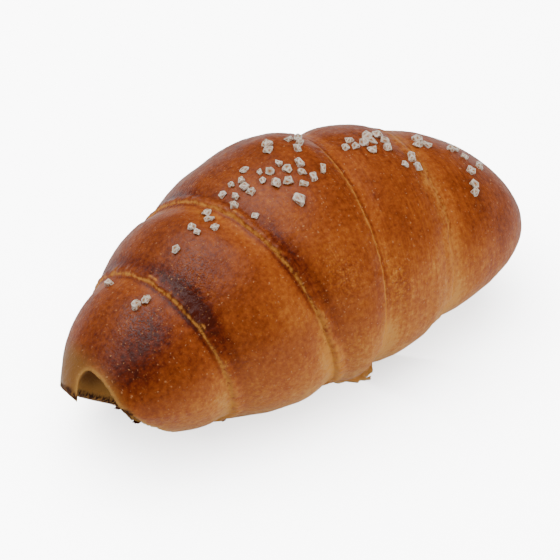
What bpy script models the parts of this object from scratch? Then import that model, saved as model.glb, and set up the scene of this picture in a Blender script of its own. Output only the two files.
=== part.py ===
"""A salt bread roll: a dough triangle rolled up from its wide side, baked golden and strewn with salt.

The roll lies along X with its flat base on z = 0. Angles run round a section: 0 faces the front (-Y),
90 is the crest, 180 the back and 270 the middle of the base.
"""

import math
import random

import bmesh
import bpy
from mathutils import Matrix, Vector, noise

MM = 0.001

# Body
LEFT_END = -65.0 * MM
RIGHT_END = 61.6 * MM
WIDTH = 67.5 * MM
HEIGHT = 53.3 * MM
WAIST_HEIGHT = 20.5 * MM          # height of the widest line round the side
GIRTH_CENTRE = -0.3 * MM          # where the roll is thickest
LEFT_TAPER = (1.40, 2.09)         # how the section shrinks towards each end
RIGHT_TAPER = (1.64, 2.70)
CREST_TAPER = 1.35                # the crest comes down faster than the sides come in
UNDERSIDE_TAPER = (0.40, 1.23)    # towards the left and the right end
UNDERSIDE_CURL = 1.18             # above 1 the underside reaches the table before its middle
END_BEND = 7.5 * MM               # both ends curve to the front
BEND_SPAN = 62.5 * MM
FOOT_LEAN = 7.2 * MM              # at the left end the foot of the section steps to the back
LEAN_SPAN = (-28.0 * MM, -61.6 * MM)
RIGHT_FOOT_LEAN = 1.3 * MM        # and a little on the right half too
RIGHT_LEAN_SPAN = (5.0 * MM, 28.0 * MM, 42.0 * MM, 60.0 * MM)
CREST_SWELL = 1.0 * MM            # the middle wrap swells most behind its crest
SWELL_PLACE = (5.0 * MM, 105.0)
SWELL_REACH = (8.0 * MM, 30.0)
LUMP_HEIGHT = 0.45 * MM
LUMP_SIZE = 17.0 * MM

# Seams between the five wraps: place along X at the front, crest and back, depth of the valley, height
# of the upper wrap's edge, reach of the valley into the lower and the upper wrap, and the side (along X)
# on which the upper wrap lies. All but the side are in millimetres.
SEAM_KEYS = ("front", "crest", "back", "depth", "lip", "lower_reach", "upper_reach", "upper_side")
SEAMS = (
    (-34.8, -40.2, -46.0, 1.95, 0.9, 5.0, 6.0, 1),
    (-9.2, -17.9, -28.0, 2.1, 1.1, 5.0, 6.0, 1),
    (4.8, 12.1, 18.0, 1.8, 0.5, 5.5, 2.4, -1),
    (26.6, 34.2, 42.0, 1.35, 0.3, 6.0, 4.0, -1),
)
LIP_WIDTH = 1.0 * MM
LIP_REACH = 1.3 * MM
FULL_REACH_WRAP = 16.0 * MM       # a wrap narrower than this has narrower valleys
FOOT_FADE = 6.0 * MM              # relief fades out this close to the table
BASE_ANGLES = (215.0, 325.0)      # the seams run back under the roll between these angles

# The sole rises from the table beyond three edges at the left end: a point of each edge, the angle of the
# way out across it (from -X towards the front) and how steeply the sole rises
FLAP_EDGE = (-47.3 * MM, 0.0, 0.0, 2.1)
MOUTH_EDGE = (-47.3 * MM, 3.0 * MM, 39.0, 1.07)
TIP_EDGE = (-55.9 * MM, 12.5 * MM, -14.5, 4.0)
SOLE_TOP = 20.5 * MM
SOLE_SOFTNESS = 3.0 * MM          # rounds the corner between the sole and the side
TIP_SOFTNESS = 3.5 * MM           # rounds the corner between the mouth and the tip

# Hollow in the left end, where the first turn of the dough stands open: an egg shape, drawn out of the
# mouth so that it breaks through the crust
HOLLOW_CENTRE = (-52.8 * MM, -16.3 * MM, 3.3 * MM)
HOLLOW_DEPTH = 13.7 * MM
HOLLOW_DRAW = 30.0 * MM
HOLLOW_SIDE = 8.5 * MM
HOLLOW_RISE = 27.1 * MM
HOLLOW_YAW = 50.0                 # it runs in to the right and to the back
HOLLOW_ROLL = -24.1               # and its top leans to the back

# Dimple in the right end
DIMPLE_DEPTH = 1.6 * MM
DIMPLE_RADIUS = 4.5 * MM
DIMPLE_START = 50.0 * MM

# Brings the middle of the finished roll's box over the origin
ORIGIN_SHIFT = (2.01 * MM, 0.0, 0.0)

# Mesh
SECTORS = 42
WRAP_RINGS = (12, 17, 19, 16, 14)
RING_CROWDING = 0.115             # how much the rings of a wrap crowd towards its seams
HOLLOW_SEGMENTS = (28, 18)
AXIS_CLEARANCE = 0.1 * MM         # closer to the middle line a point has no side to stand out to
NORMAL_STEP = (0.4 * MM, 1.0)     # along x and in degrees
CREASE_ANGLE = 40.0

# Salt: groups of coarse grains as x, angle, count, spread along x, spread in degrees, grain size
SALT_SEED = 11
SALT_GROUPS = (
    (-45.6 * MM, 85, 1, 0.0, 0, 3.1 * MM),
    (-43.2 * MM, 83, 1, 0.0, 0, 2.7 * MM),
    (-44.8 * MM, 122, 1, 0.0, 0, 3.2 * MM),
    (-31.9 * MM, 90, 1, 0.0, 0, 2.6 * MM),
    (-25.7 * MM, 88, 2, 0.5 * MM, 8, 2.6 * MM),
    (-21.7 * MM, 89, 3, 1.2 * MM, 8, 2.6 * MM),
    (-14.5 * MM, 94, 4, 2.4 * MM, 6, 2.6 * MM),
    (-13.5 * MM, 78, 1, 0.0, 0, 2.2 * MM),
    (-8.5 * MM, 95, 6, 2.8 * MM, 8, 2.5 * MM),
    (-3.6 * MM, 87, 8, 2.8 * MM, 7, 2.9 * MM),
    (0.6 * MM, 83, 5, 2.4 * MM, 6, 2.7 * MM),
    (-3.6 * MM, 72, 1, 0.0, 0, 3.6 * MM),
    (6.1 * MM, 80, 1, 0.0, 0, 2.6 * MM),
    (0.2 * MM, 102, 2, 1.0 * MM, 4, 3.4 * MM),
    (6.6 * MM, 100, 4, 1.8 * MM, 7, 2.8 * MM),
    (19.0 * MM, 92, 3, 1.6 * MM, 4, 2.7 * MM),
    (22.5 * MM, 88, 2, 0.8 * MM, 4, 2.9 * MM),
    (26.5 * MM, 90, 7, 2.4 * MM, 7, 3.3 * MM),
    (31.0 * MM, 75, 2, 0.8 * MM, 4, 3.6 * MM),
    (27.5 * MM, 73, 1, 0.0, 0, 2.3 * MM),
    (38.5 * MM, 92, 4, 1.8 * MM, 5, 3.0 * MM),
    (46.5 * MM, 84, 3, 1.6 * MM, 5, 2.9 * MM),
    (50.0 * MM, 72, 1, 0.0, 0, 3.2 * MM),
    (46.0 * MM, 66, 2, 1.0 * MM, 4, 3.1 * MM),
    (42.5 * MM, 54, 2, 0.8 * MM, 4, 2.8 * MM),
)
GRAIN_SPACING = 0.8               # smallest distance between two grains, in grain sizes
GRAIN_TRIES = 40                  # tries to find such a place
GRAIN_SIZES = (0.85, 1.12)        # smallest and largest of a group, in its grain size
GRAIN_LENGTH = (0.85, 1.1)
GRAIN_WIDTH = (0.8, 1.0)
GRAIN_HEIGHT = (0.6, 0.8)
GRAIN_JITTER = (0.88, 1.12)
GRAIN_SINK = 0.12                 # how deep a grain's middle lies under the crust, in grain sizes

# Skirt of butter that ran out and crisped at the front foot: x, y, length, width
SKIRT_FLAKES = (
    (2.4 * MM, -19.0 * MM, 3.4 * MM, 6.2 * MM),
    (6.2 * MM, -19.4 * MM, 3.0 * MM, 6.4 * MM),
    (9.8 * MM, -18.8 * MM, 3.2 * MM, 6.0 * MM),
)
SKIRT_THICKNESS = 0.9 * MM
SKIRT_GAP = 0.1 * MM
SKIRT_SEED = 5
SKIRT_SEGMENTS = (12, 6)
SKIRT_WAVE = 0.15                 # raggedness, as a share of the size


def clear_scene():
    for thing in list(bpy.data.objects):
        bpy.data.objects.remove(thing, do_unlink=True)


def collection(name):
    made = bpy.data.collections.new(name)
    bpy.context.scene.collection.children.link(made)
    return made


def material(name, colour, roughness):
    made = bpy.data.materials.new(name)
    made.use_nodes = True
    shader = made.node_tree.nodes["Principled BSDF"]
    shader.inputs["Base Color"].default_value = (*colour, 1.0)
    shader.inputs["Roughness"].default_value = roughness
    shader.inputs["Metallic"].default_value = 0.0
    return made


def mesh_object(name, mesh, holder):
    made = bpy.data.objects.new(name, mesh)
    holder.objects.link(made)
    return made


def smoothstep(low, high, value):
    t = min(max((value - low) / (high - low), 0.0), 1.0)
    return t * t * (3.0 - 2.0 * t)


def girth(x):
    """Size of the section at x as a share of the thickest one."""
    reach = GIRTH_CENTRE - LEFT_END if x < GIRTH_CENTRE else RIGHT_END - GIRTH_CENTRE
    power, root = LEFT_TAPER if x < GIRTH_CENTRE else RIGHT_TAPER
    t = min(abs(x - GIRTH_CENTRE) / reach, 1.0)
    return (1.0 - t ** power) ** (1.0 / root)


def section_middle(x):
    return Vector((x, -END_BEND * (x / BEND_SPAN) ** 2, WAIST_HEIGHT))


def soft_max(a, b, softness):
    return (a + b + math.hypot(a - b, softness)) / 2.0


def edge_rise(edge, x, y):
    edge_x, edge_y, turn, slope = edge
    turn = math.radians(turn)
    return slope * ((edge_x - x) * math.cos(turn) + (edge_y - y) * math.sin(turn))


def sole_height(x, y):
    """How high the sole stands off the table at the left end."""
    tip = soft_max(edge_rise(MOUTH_EDGE, x, y), edge_rise(TIP_EDGE, x, y), TIP_SOFTNESS)
    return min(max(min(edge_rise(FLAP_EDGE, x, y), tip), 0.0), SOLE_TOP)


def body_point(x, angle):
    """Point of the smooth body, before wraps and lumps."""
    size = girth(x)
    side = math.cos(math.radians(angle))
    rise = math.sin(math.radians(angle))
    middle = section_middle(x)
    y = middle.y - WIDTH / 2.0 * size * side
    if rise > 0.0:
        z = WAIST_HEIGHT + (HEIGHT - WAIST_HEIGHT) * size ** CREST_TAPER * rise
    else:
        taper = UNDERSIDE_TAPER[0] if x < GIRTH_CENTRE else UNDERSIDE_TAPER[1]
        z = WAIST_HEIGHT * (1.0 + UNDERSIDE_CURL * size ** taper * rise)
    z = max(z, 0.0)
    low = 1.0 - min(z / WAIST_HEIGHT, 1.0)
    y += FOOT_LEAN * low * smoothstep(-LEAN_SPAN[0], -LEAN_SPAN[1], -x)
    start, full, fade, end = RIGHT_LEAN_SPAN
    y += RIGHT_FOOT_LEAN * low * smoothstep(start, full, x) * (1.0 - smoothstep(fade, end, x))
    sole = sole_height(x, y)
    return Vector((x, y, soft_max(z, sole, min(SOLE_SOFTNESS, sole))))


def seam_values(number):
    """One seam's values by name, in metres."""
    values = dict(zip(SEAM_KEYS, SEAMS[number]))
    side = values.pop("upper_side")
    values = {key: value * MM for key, value in values.items()}
    values["upper_side"] = side
    return values


def seam_x(seam, angle):
    """Place of a seam along X: it slants over the roll and runs straight back under it."""
    first, last = BASE_ANGLES

    def over(a):
        t = (a - 90.0) / 90.0
        bow = (seam["front"] + seam["back"]) / 2.0 - seam["crest"]
        return seam["crest"] + (seam["back"] - seam["front"]) / 2.0 * t + bow * t * t

    angle = (angle - last) % 360.0 + last - 360.0
    if angle <= first:
        return over(angle)
    return over(first) + (over(last - 360.0) - over(first)) * smoothstep(first, last, angle)


def wrap_lines(angle):
    """The ends of the five wraps along X at one angle."""
    return [LEFT_END] + [seam_x(seam_values(i), angle) for i in range(len(SEAMS))] + [RIGHT_END]


def wrap_relief(x, angle):
    """How far the crust stands in from the smooth body beside the seams."""
    lines = wrap_lines(angle)
    relief = 0.0
    for number in range(len(SEAMS)):
        seam = seam_values(number)
        from_seam = (x - lines[number + 1]) * seam["upper_side"]
        upper_wrap = number + 1 if seam["upper_side"] > 0 else number
        narrow = min((lines[upper_wrap + 1] - lines[upper_wrap]) / FULL_REACH_WRAP, 1.0)
        reach = seam["upper_reach"] * narrow if from_seam > 0.0 else seam["lower_reach"]
        relief -= seam["depth"] * math.exp(-((from_seam / reach) ** 2))
        past_lip = max(from_seam - LIP_WIDTH, 0.0) / LIP_REACH
        relief += seam["lip"] * smoothstep(0.0, LIP_WIDTH, from_seam) * math.exp(-past_lip ** 2)
    return relief


def crust_point(x, angle):
    """Point of the finished crust."""
    point = body_point(x, angle)
    outward = point - section_middle(x)
    outward.x = 0.0
    if outward.length < AXIS_CLEARANCE:
        outward = Vector((math.copysign(1.0, x), 0.0, 0.0))
    outward.normalize()
    foot = smoothstep(0.0, FOOT_FADE, point.z)
    swell = math.exp(-((x - SWELL_PLACE[0]) / SWELL_REACH[0]) ** 2)
    swell *= CREST_SWELL * math.exp(-((angle % 360.0 - SWELL_PLACE[1]) / SWELL_REACH[1]) ** 2)
    lumps = LUMP_HEIGHT * noise.noise(point / LUMP_SIZE)
    dimple = 0.0
    if x > DIMPLE_START:
        off_axis = (point - section_middle(RIGHT_END)).yz.length
        dimple = DIMPLE_DEPTH * math.exp(-((off_axis / DIMPLE_RADIUS) ** 2))
    point += outward * (wrap_relief(x, angle) + swell + lumps) * foot
    point.x -= dimple
    point.z = max(point.z, 0.0)
    return point


def spread_rings(share):
    """Rings crowd together at both ends of a wrap, where the seams are."""
    return share - RING_CROWDING * math.sin(2.0 * math.pi * share)


def crust_mesh(name):
    """A sphere with its poles at the ends of the roll, each ring of it laid along the seams."""
    rings = sum(WRAP_RINGS)
    bm = bmesh.new()
    bmesh.ops.create_uvsphere(bm, u_segments=SECTORS, v_segments=rings, radius=1.0)
    for vert in bm.verts:
        ring = round(math.acos(min(max(vert.co.z, -1.0), 1.0)) / math.pi * rings)
        angle = math.degrees(math.atan2(vert.co.y, vert.co.x))
        wrap = 0
        while ring > WRAP_RINGS[wrap]:
            ring -= WRAP_RINGS[wrap]
            wrap += 1
        share = ring / WRAP_RINGS[wrap]
        if wrap in (0, len(WRAP_RINGS) - 1):
            share = smoothstep(0.0, 1.0, share)
        else:
            share = spread_rings(share)
        lines = wrap_lines(angle)
        vert.co = crust_point(lines[wrap] + (lines[wrap + 1] - lines[wrap]) * share, angle)
    bmesh.ops.triangulate(bm, faces=bm.faces)
    bmesh.ops.recalc_face_normals(bm, faces=bm.faces)
    mesh = bpy.data.meshes.new(name)
    bm.to_mesh(mesh)
    bm.free()
    return mesh


def hollow_cutter(holder):
    mesh = bpy.data.meshes.new("hollow")
    bm = bmesh.new()
    bmesh.ops.create_uvsphere(bm, u_segments=HOLLOW_SEGMENTS[0], v_segments=HOLLOW_SEGMENTS[1], radius=1.0)
    for vert in bm.verts:
        length = HOLLOW_DEPTH if vert.co.x > 0.0 else HOLLOW_DRAW
        vert.co = Vector((vert.co.x * length, vert.co.y * HOLLOW_SIDE, vert.co.z * HOLLOW_RISE))
    turn = Matrix.Rotation(math.radians(HOLLOW_YAW), 4, "Z")
    turn = turn @ Matrix.Rotation(math.radians(HOLLOW_ROLL), 4, "X")
    bmesh.ops.transform(bm, matrix=Matrix.Translation(HOLLOW_CENTRE) @ turn, verts=bm.verts)
    bm.to_mesh(mesh)
    bm.free()
    cutter = mesh_object("hollow", mesh, holder)
    cutter.hide_render = True
    cutter.display_type = "WIRE"
    return cutter


def apply_boolean(target, operation, solver, cutter=None, group=None):
    """Cut or join, and keep the result as the object's own mesh."""
    step = target.modifiers.new("step", "BOOLEAN")
    step.operation = operation
    step.solver = solver
    if group:
        step.operand_type = "COLLECTION"
        step.collection = group
    else:
        step.object = cutter
    bpy.context.view_layer.update()
    done = bpy.data.meshes.new_from_object(target.evaluated_get(bpy.context.evaluated_depsgraph_get()))
    target.modifiers.remove(step)
    target.data = done


def has_room(place, places):
    """Whether a grain would lie clear enough of those already placed."""
    here = crust_point(place[0], place[1])
    for x, angle, size in places:
        gap = GRAIN_SPACING * (place[2] + size) / 2.0
        if (here - crust_point(x, angle)).length <= gap:
            return False
    return True


def grain_places():
    """Where each grain lies, as x, angle and size, kept apart from the others."""
    draw = random.Random(SALT_SEED)
    places = []
    for x, angle, count, spread, turn, size in SALT_GROUPS:
        for _ in range(count):
            for _ in range(GRAIN_TRIES):
                place_x = x + draw.uniform(-spread, spread)
                place_angle = angle + draw.uniform(-turn, turn)
                place = (place_x, place_angle, size * draw.uniform(*GRAIN_SIZES))
                if has_room(place, places):
                    places.append(place)
                    break
    return places


def crust_normal(x, angle):
    step, turn = NORMAL_STEP
    along = crust_point(x + step, angle) - crust_point(x - step, angle)
    around = crust_point(x, angle + turn) - crust_point(x, angle - turn)
    return around.cross(along).normalized()


def salt_grains(holder):
    """Rough crystals, each a small jittered polyhedron sunk a little into the crust."""
    draw = random.Random(SALT_SEED + 1)
    for number, (x, angle, size) in enumerate(grain_places()):
        bm = bmesh.new()
        bmesh.ops.create_icosphere(bm, subdivisions=1, radius=size / 2.0)
        stretch = [draw.uniform(*limits) for limits in (GRAIN_LENGTH, GRAIN_WIDTH, GRAIN_HEIGHT)]
        for vert in bm.verts:
            vert.co *= draw.uniform(*GRAIN_JITTER)
            vert.co = vert.co * Vector(stretch)
        normal = crust_normal(x, angle)
        turn = normal.to_track_quat("Z", "Y").to_matrix().to_4x4()
        turn = turn @ Matrix.Rotation(draw.uniform(0.0, math.tau), 4, "Z")
        place = crust_point(x, angle) - normal * GRAIN_SINK * size
        bmesh.ops.transform(bm, matrix=Matrix.Translation(place) @ turn, verts=bm.verts)
        mesh = bpy.data.meshes.new("grain")
        bm.to_mesh(mesh)
        bm.free()
        mesh_object("grain_%02d" % number, mesh, holder)


def skirt_flakes(holder):
    """Thin crisp lobes that lie on the table against the front foot."""
    draw = random.Random(SKIRT_SEED)
    for number, (x, y, length, width) in enumerate(SKIRT_FLAKES):
        bm = bmesh.new()
        bmesh.ops.create_uvsphere(bm, u_segments=SKIRT_SEGMENTS[0], v_segments=SKIRT_SEGMENTS[1], radius=1.0)
        for vert in bm.verts:
            wave = 1.0 + SKIRT_WAVE * draw.uniform(-1.0, 1.0)
            vert.co *= Vector((length * wave, width * wave, SKIRT_THICKNESS / 2.0))
            vert.co += Vector((x, y, SKIRT_THICKNESS / 2.0 + SKIRT_GAP))
        mesh = bpy.data.meshes.new("flake")
        bm.to_mesh(mesh)
        bm.free()
        mesh_object("flake_%d" % number, mesh, holder)


def keep_largest_body(mesh):
    """Drop any loose scrap that the cut or the joining left."""
    bm = bmesh.new()
    bm.from_mesh(mesh)
    bodies = []
    left = set(bm.verts)
    while left:
        queue = [left.pop()]
        body = set(queue)
        while queue:
            for edge in queue.pop().link_edges:
                for vert in edge.verts:
                    if vert in left:
                        left.discard(vert)
                        body.add(vert)
                        queue.append(vert)
        bodies.append(body)
    bodies.sort(key=len)
    for body in bodies[:-1]:
        bmesh.ops.delete(bm, geom=list(body), context="VERTS")
    bm.to_mesh(mesh)
    bm.free()


def main():
    clear_scene()
    roll_parts = collection("salt_bread_roll")
    cutters = collection("cutters")
    toppings = collection("toppings")

    roll = mesh_object("salt_bread", crust_mesh("salt_bread"), roll_parts)
    cutter = hollow_cutter(cutters)
    apply_boolean(roll, "DIFFERENCE", "EXACT", cutter=cutter)
    salt_grains(toppings)
    skirt_flakes(toppings)
    apply_boolean(roll, "UNION", "EXACT", group=toppings)
    for thing in list(toppings.objects):
        bpy.data.objects.remove(thing, do_unlink=True)
    bpy.data.collections.remove(toppings)
    keep_largest_body(roll.data)
    roll.data.transform(Matrix.Translation(ORIGIN_SHIFT))
    roll.data.materials.clear()
    roll.data.materials.append(material("baked_crust", (0.36, 0.125, 0.03), 0.42))
    roll.data.shade_smooth()
    roll.data.set_sharp_from_angle(angle=math.radians(CREASE_ANGLE))


main()
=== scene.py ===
import math
import random

import bmesh
import bpy
import numpy as np
from mathutils import Matrix, Vector, noise
from mathutils.kdtree import KDTree


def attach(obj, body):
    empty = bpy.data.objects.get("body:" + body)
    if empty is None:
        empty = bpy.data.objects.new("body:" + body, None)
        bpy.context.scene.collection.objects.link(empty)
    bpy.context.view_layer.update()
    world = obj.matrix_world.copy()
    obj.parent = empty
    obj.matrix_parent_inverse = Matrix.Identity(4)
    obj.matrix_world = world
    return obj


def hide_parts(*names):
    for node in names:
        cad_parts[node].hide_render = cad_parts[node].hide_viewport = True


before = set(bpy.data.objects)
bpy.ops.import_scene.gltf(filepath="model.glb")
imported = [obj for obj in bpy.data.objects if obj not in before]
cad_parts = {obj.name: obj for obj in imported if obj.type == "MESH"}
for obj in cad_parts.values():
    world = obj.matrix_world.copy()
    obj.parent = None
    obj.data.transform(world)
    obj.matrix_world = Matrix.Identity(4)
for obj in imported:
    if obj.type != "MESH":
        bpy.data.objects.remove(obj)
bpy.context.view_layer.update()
print("frame loaded")

mm = 0.001


# shape of the roll
# It lies along X. Angles run round a section: 0 the front, 90 the crest, 180 the back.
roll = {
    "leftEnd": -65.0 * mm,
    "rightEnd": 61.6 * mm,
    "width": 67.5 * mm,
    "height": 53.3 * mm,
    "waist": 20.5 * mm,  # height of the widest line
    "thickest": -0.3 * mm,
    "leftTaper": (1.4, 2.09),
    "rightTaper": (1.64, 2.7),
    "crestTaper": 1.35,
    "underTaper": (0.4, 1.23),
    "underCurl": 1.18,
    "bend": 7.5 * mm,
    "bendSpan": 62.5 * mm,
    "footLean": 7.2 * mm,
    "leanSpan": (28.0 * mm, 61.6 * mm),
    "rightLean": 1.3 * mm,
    "rightLeanSpan": (5.0 * mm, 28.0 * mm, 42.0 * mm, 60.0 * mm),
    # the sole leaves the table beyond these edges: x, y, turn of the way out and slope
    "flapEdge": (-47.3 * mm, 0.0, 0.0, 2.1),
    "mouthEdge": (-47.3 * mm, 3.0 * mm, 39.0, 1.12),
    "tipEdge": (-55.9 * mm, 12.5 * mm, -14.5, 4.0),
    "soleTop": 21.5 * mm,
    "soleSoft": 3.0 * mm,
    "burntSole": (0.3 * mm, 1.2 * mm),  # the burnt look fades out between these heights over it
    "tipSoft": 3.5 * mm,
    "swell": 1.0 * mm,
    "swellPlace": (5.0 * mm, 105.0),
    "swellReach": (8.0 * mm, 30.0),
    "lump": 0.45 * mm,
    "lumpSize": 17.0 * mm,
    "footFade": 6.0 * mm,
    "dimple": 1.6 * mm,
    "dimpleRadius": 4.5 * mm,
    "dimpleStart": 50.0 * mm,
    "shift": (2.01 * mm, 0.0, 0.0),
}

# Seams between the wraps, in millimetres. side says on which side of it, along X, the upper wrap lies.
# pale, paleWidth and lowEnd draw the unglazed edge; wander and fray make it uneven.
seamKeys = ("front", "crest", "back", "side", "depth", "lip", "lowReach", "highReach",
            "pale", "paleWidth", "lowEnd", "wander", "fray")
seams = [dict(zip(seamKeys, row)) for row in (
    (-34.8, -40.2, -46.0, 1, 1.95, 0.6, 5.0, 6.0, 0.92, 0.22, 0.6, 0.3, 0.35),
    (-9.2, -17.9, -28.0, 1, 2.1, 0.75, 5.0, 6.0, 1.0, 0.24, 1.8, 0.3, 0.35),
    (4.8, 12.1, 18.0, -1, 1.8, 0.5, 5.5, 2.4, 1.0, 0.4, 0.8, 0.3, 0.8),
    (26.6, 34.2, 42.0, -1, 1.35, 0.3, 6.0, 4.0, 0.62, 1.7, 1.4, 0.5, 0.8),
)]
seamFit = {
    "lipWidth": 1.0 * mm,
    "lipReach": 1.3 * mm,
    "fullReachWrap": 16.0 * mm,
    "baseAngles": (215.0, 325.0),
    "overhang": 0.35 * mm,  # how far the lip leans over the lower wrap
}
# How the seams are worn, and where painted shade lies beside them. A band is its middle and reach across the
# seam.
wear = {
    "coarseSize": 4.5 * mm,
    "fineSize": 1.1 * mm,
    "tornSize": 0.75 * mm,
    "apart": 40.0,  # between the noise of two seams, in mm
    "fineWander": 0.35,
    "frayMix": (0.8, 1.1),  # of coarse and fine noise
    "frayLimits": (0.15, 2.0),
    "leanBand": (0.6 * mm, 0.7 * mm),
    "lowAngles": (35.0, -5.0),  # towards the table the pale edge is wider
    "widthMix": (0.6, 0.3),  # of coarse and torn noise
    "widthLimits": (0.4, 1.8),
    "edgeMiddle": 0.4,  # in mm
    "threadBand": (1.15 * mm, 0.2 * mm),  # a second thread of torn dough runs here in places
    "threadStart": (0.22, 0.42),
    "threadTorn": 0.4,
    "threadPale": 0.8,
    "gapMix": (0.95, 0.8, 1.1),  # constant, fine and torn noise
    # painted shade in the valley beside a raised lip, less towards the table
    "dipBand": (2.9 * mm, 1.9 * mm),
    "lowDip": 0.7,
    "coveBand": (-1.8 * mm, 2.4 * mm),
    "backCove": 0.5,
    "backAngles": (105.0, 140.0),
    # painted shade in the crease of each seam
    "creaseBand": (-0.45 * mm, 0.4 * mm),
}


def smooth(low, high, value):
    t = np.clip((value - low) / (high - low), 0.0, 1.0)
    return t * t * (3.0 - 2.0 * t)


def bell(value, middle, reach):
    return np.exp(-((value - middle) / reach) ** 2)


def noiseAt(points, size, shift=0.0):
    flat = (np.asarray(points).reshape(-1, 3) / size + shift).tolist()
    return np.array([noise.noise(p) for p in flat]).reshape(np.asarray(points).shape[:-1])


def bodyPoints(x, angle):
    left = x < roll["thickest"]
    reach = np.where(left, roll["thickest"] - roll["leftEnd"], roll["rightEnd"] - roll["thickest"])
    share = np.clip(np.abs(x - roll["thickest"]) / reach, 0.0, 1.0)
    power = np.where(left, roll["leftTaper"][0], roll["rightTaper"][0])
    root = np.where(left, roll["leftTaper"][1], roll["rightTaper"][1])
    size = (1.0 - share ** power) ** (1.0 / root)
    side = np.cos(np.radians(angle))
    rise = np.sin(np.radians(angle))
    y = sectionMiddle(x) - roll["width"] / 2.0 * size * side
    upper = roll["waist"] + (roll["height"] - roll["waist"]) * size ** roll["crestTaper"] * rise
    under = np.where(left, roll["underTaper"][0], roll["underTaper"][1])
    lower = roll["waist"] * (1.0 + roll["underCurl"] * size ** under * rise)
    z = np.maximum(np.where(rise > 0.0, upper, lower), 0.0)
    low = 1.0 - np.minimum(z / roll["waist"], 1.0)
    y = y + roll["footLean"] * low * smooth(roll["leanSpan"][0], roll["leanSpan"][1], -x)
    start, full, fade, end = roll["rightLeanSpan"]
    y = y + roll["rightLean"] * low * smooth(start, full, x) * (1.0 - smooth(fade, end, x))
    sole = soleHeight(x, y)
    z = softMax(z, sole, np.minimum(roll["soleSoft"], sole))
    return np.stack(np.broadcast_arrays(x, y, z), -1)


def soleHeight(x, y):
    beyond = softMax(edgeRise("mouthEdge", x, y), edgeRise("tipEdge", x, y), roll["tipSoft"])
    return np.clip(np.minimum(edgeRise("flapEdge", x, y), beyond), 0.0, roll["soleTop"])


def edgeRise(name, x, y):
    edgeX, edgeY, turn, slope = roll[name]
    return slope * ((edgeX - x) * math.cos(math.radians(turn)) + (edgeY - y) * math.sin(math.radians(turn)))


def softMax(a, b, soft):
    return (a + b + np.sqrt((a - b) ** 2 + soft ** 2)) / 2.0


def sectionMiddle(x):
    return -roll["bend"] * (x / roll["bendSpan"]) ** 2


def seamLine(seam, angle):
    first, last = seamFit["baseAngles"]

    def over(a):
        t = (a - 90.0) / 90.0
        bow = (seam["front"] + seam["back"]) / 2.0 - seam["crest"]
        return (seam["crest"] + (seam["back"] - seam["front"]) / 2.0 * t + bow * t * t) * mm

    turned = (angle - last) % 360.0 + last - 360.0
    under = over(first) + (over(last - 360.0) - over(first)) * smooth(first, last, turned)
    return np.where(turned <= first, over(turned), under)


def wrapLines(angle):
    ends = np.zeros_like(angle)
    return [ends + roll["leftEnd"]] + [seamLine(s, angle) for s in seams] + [ends + roll["rightEnd"]]


def lumpyOffset(x, angle, point, relief):
    # carries the relief and the large lumps outward from the middle of the section
    outward = point - np.stack(np.broadcast_arrays(x, sectionMiddle(x), roll["waist"]), -1)
    outward[..., 0] = 0.0
    length = np.linalg.norm(outward, axis=-1, keepdims=True)
    tip = np.zeros_like(outward)
    tip[..., 0] = np.sign(x)
    outward = np.where(length < 0.1 * mm, tip, outward / np.maximum(length, 1e-9))
    foot = smooth(0.0, roll["footFade"], point[..., 2])
    swell = roll["swell"] * bell(x, roll["swellPlace"][0], roll["swellReach"][0])
    swell = swell * bell(angle % 360.0, roll["swellPlace"][1], roll["swellReach"][1])
    lumps = roll["lump"] * noiseAt(point, roll["lumpSize"])
    axis = np.array([sectionMiddle(roll["rightEnd"]), roll["waist"]])
    offAxis = np.linalg.norm(point[..., 1:] - axis, axis=-1)
    dimple = np.where(x > roll["dimpleStart"], roll["dimple"] * bell(offAxis, 0.0, roll["dimpleRadius"]), 0.0)
    moved = point + outward * ((relief + swell + lumps) * foot)[..., None]
    moved[..., 0] -= dimple
    moved[..., 2] = np.maximum(moved[..., 2], 0.0)
    return moved


def seamRelief(seam, lines, number, x, wander, fray):
    # wander shifts the seam sideways, fray makes its lip rise and sink
    fromSeam = (x - lines[number + 1]) * seam["side"] - wander
    upperWrap = number + 1 if seam["side"] > 0 else number
    narrow = np.minimum((lines[upperWrap + 1] - lines[upperWrap]) / seamFit["fullReachWrap"], 1.0)
    reach = np.where(fromSeam > 0.0, seam["highReach"] * mm * narrow, seam["lowReach"] * mm)
    relief = -seam["depth"] * mm * np.exp(-(fromSeam / reach) ** 2)
    pastLip = np.maximum(fromSeam - seamFit["lipWidth"], 0.0) / seamFit["lipReach"]
    lip = seam["lip"] * mm * smooth(0.0, seamFit["lipWidth"], fromSeam) * np.exp(-pastLip ** 2)
    return relief + lip * fray, fromSeam


def plainCrust(x, angle):
    # the crust without its fine detail, where salt is placed
    x = np.asarray(x, float)
    angle = np.asarray(angle, float)
    lines = wrapLines(angle)
    relief = sum(seamRelief(s, lines, i, x, 0.0, 1.0)[0] for i, s in enumerate(seams))
    return lumpyOffset(x, angle, bodyPoints(x, angle), relief)


# the crust as a fine mesh
crustMesh = {
    "rings": (50, 64, 74, 60, 52),  # in each wrap, from the left
    "crowding": 0.115,  # rings stand closer at the seams
    "poleCrowding": 1.7,
    "topSectors": 268,
    "topSpan": (-38.0, 218.0),
    "underSectors": 36,
    "dents": ((5.0 * mm, 0.13 * mm), (2.2 * mm, 0.05 * mm)),  # size and height of the finer lumps
    "stretch": (1.1 * mm, 13.0 * mm, 0.06 * mm),  # width, length and height of stretch lines
    "stretchWraps": (2.0, 3.2),  # they set in between these wraps
    "doughScale": 0.52 * mm,  # length along the crust for one degree
    "wrapSpan": (22.0, 50.0),  # length of a wrap and step to the next one in the dough's frame, in mm
}

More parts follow.
